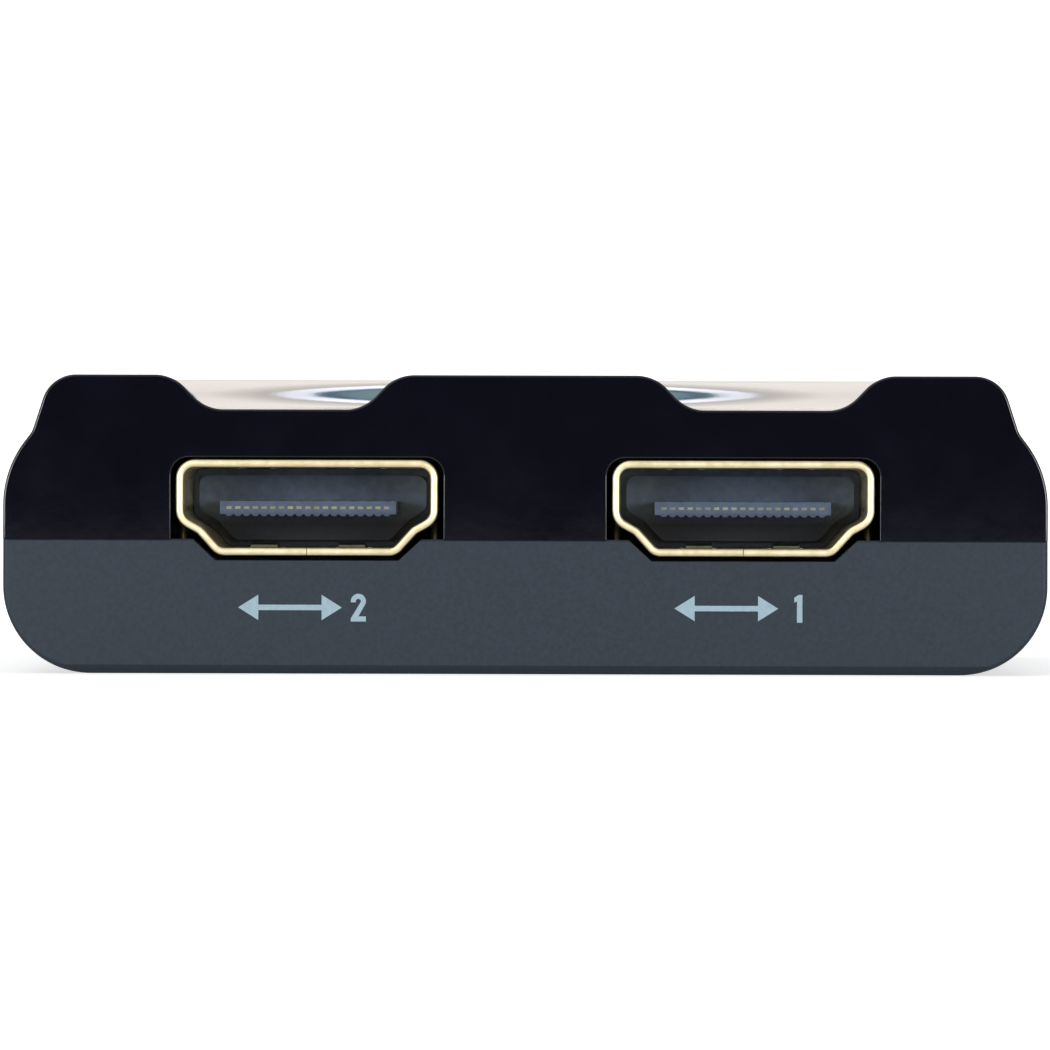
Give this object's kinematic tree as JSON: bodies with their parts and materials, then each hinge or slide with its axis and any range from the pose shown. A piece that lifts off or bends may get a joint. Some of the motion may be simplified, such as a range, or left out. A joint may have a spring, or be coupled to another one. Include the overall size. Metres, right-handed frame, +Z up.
{
  "type": "video switch",
  "caption": "Small two-way video switch: a flat two-shell case with ports front and rear, a round push button on top and finger scoops over the ports.",
  "frame": {"origin": "middle of the underside", "axes": "+X to the right and +Z up as seen from the two-port face, which looks along -Y"},
  "size_m": [0.0594, 0.0504, 0.0174],
  "materials": {
    "gloss_black": "polished injection moulding",
    "satin_grey": "fine satin moulding",
    "board_green": "solder mask over glass laminate",
    "port_gold": "pale gold plating on folded sheet",
    "contact_gold": "gold plating",
    "insulator_black": "moulded",
    "button_black": "satin moulding",
    "switch_black": "moulded",
    "tinned_steel": "tin plated",
    "plunger_red": "moulded",
    "clear_guide": "polished clear plastic",
    "lamp_white": "clear resin over a white base",
    "chip_black": "moulded epoxy",
    "ceramic_tan": "fired ceramic with tinned ends",
    "screw_steel": "zinc plated"
  },
  "bodies": {
    "case": {"upper_shell": "gloss_black", "lower_shell": "satin_grey", "circuit_board": "board_green", "switch_base": "switch_black", "switch_cover": "tinned_steel", "switch_dome": "tinned_steel", "switch_pins": "tinned_steel", "light_guide_1": "clear_guide", "light_guide_2": "clear_guide", "lamp_1": "lamp_white", "lamp_2": "lamp_white", "switching_chip": "chip_black", "switching_chip_pins": "tinned_steel", "surge_arrays": "chip_black", "capacitors": "ceramic_tan", "resistors": "chip_black", "case_screws": "screw_steel", "port_1_shell": "port_gold", "port_1_contacts": "contact_gold", "port_1_insulator": "insulator_black", "port_2_shell": "port_gold", "port_2_contacts": "contact_gold", "port_2_insulator": "insulator_black", "port_3_shell": "port_gold", "port_3_contacts": "contact_gold", "port_3_insulator": "insulator_black"},
    "button": {"button_cap": "button_black", "switch_plunger": "plunger_red"}
  },
  "joints": [
    {"name": "button_press", "type": "slide", "parent": "case", "child": "button", "axis": [0, 0, -1], "range_m": [0, 0.0005], "stiffness_N_per_m": 3000, "deforming": ["switch_dome"]}
  ]
}
